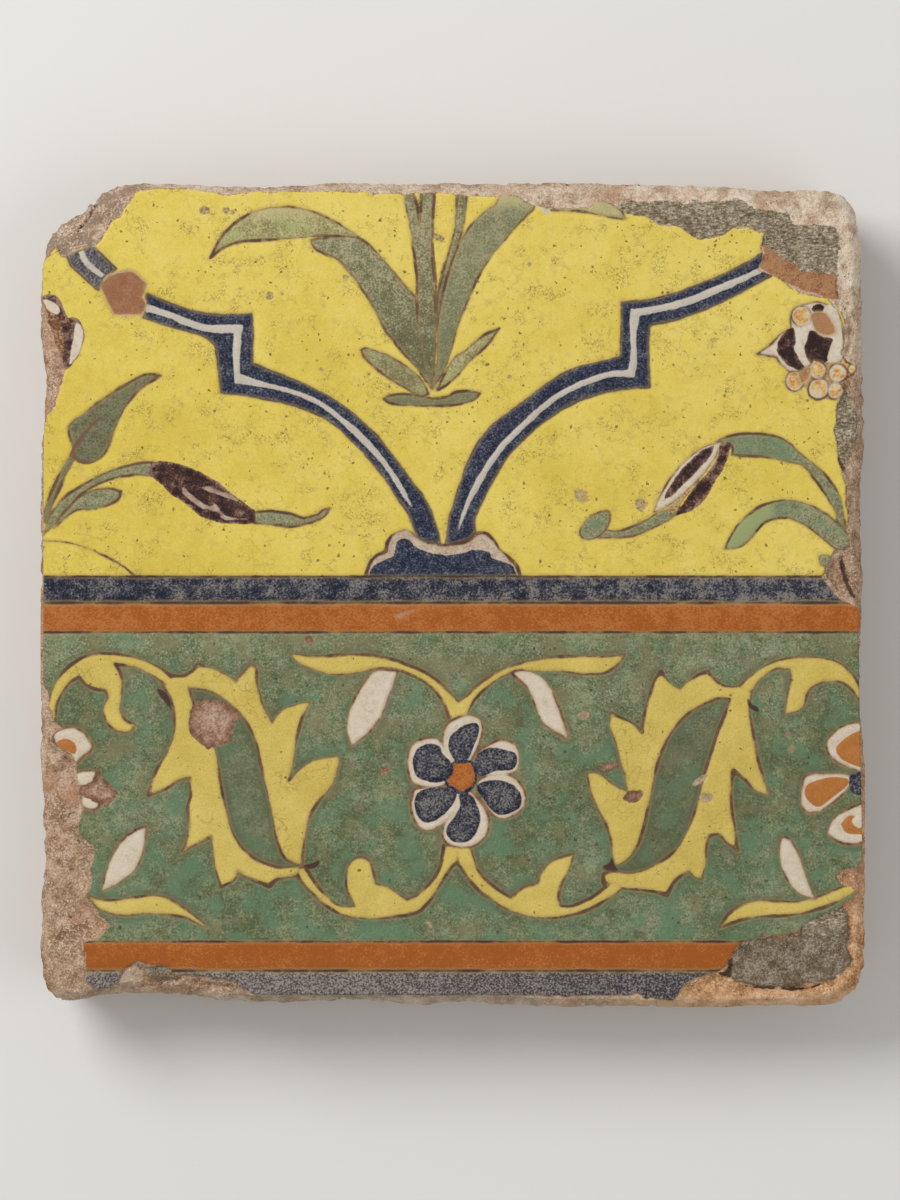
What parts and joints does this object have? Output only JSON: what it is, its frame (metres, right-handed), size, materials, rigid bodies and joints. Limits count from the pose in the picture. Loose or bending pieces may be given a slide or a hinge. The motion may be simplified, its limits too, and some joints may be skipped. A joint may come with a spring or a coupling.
{
  "type": "glazed border tile",
  "caption": "Square hand-made glazed earthenware border tile with a worn rim and a broken corner, a plant panel above a banded scroll border, bedded on its flat back as wall cladding.",
  "frame": {"origin": "middle of the tile's back, at the bottom of its bounding box", "axes": "+Z out of the glazed face; +Y towards the panel's top edge, away from the banded border; +X to the right as the face is seen"},
  "size_m": [0.2001, 0.2001, 0.028],
  "materials": {
    "glazed_earthenware": "hand-painted coloured glazes on a pinkish-buff clay body, worn, pitted and chipped round the rim"
  },
  "bodies": {
    "root": {"border_tile": "glazed_earthenware"}
  },
  "joints": []
}
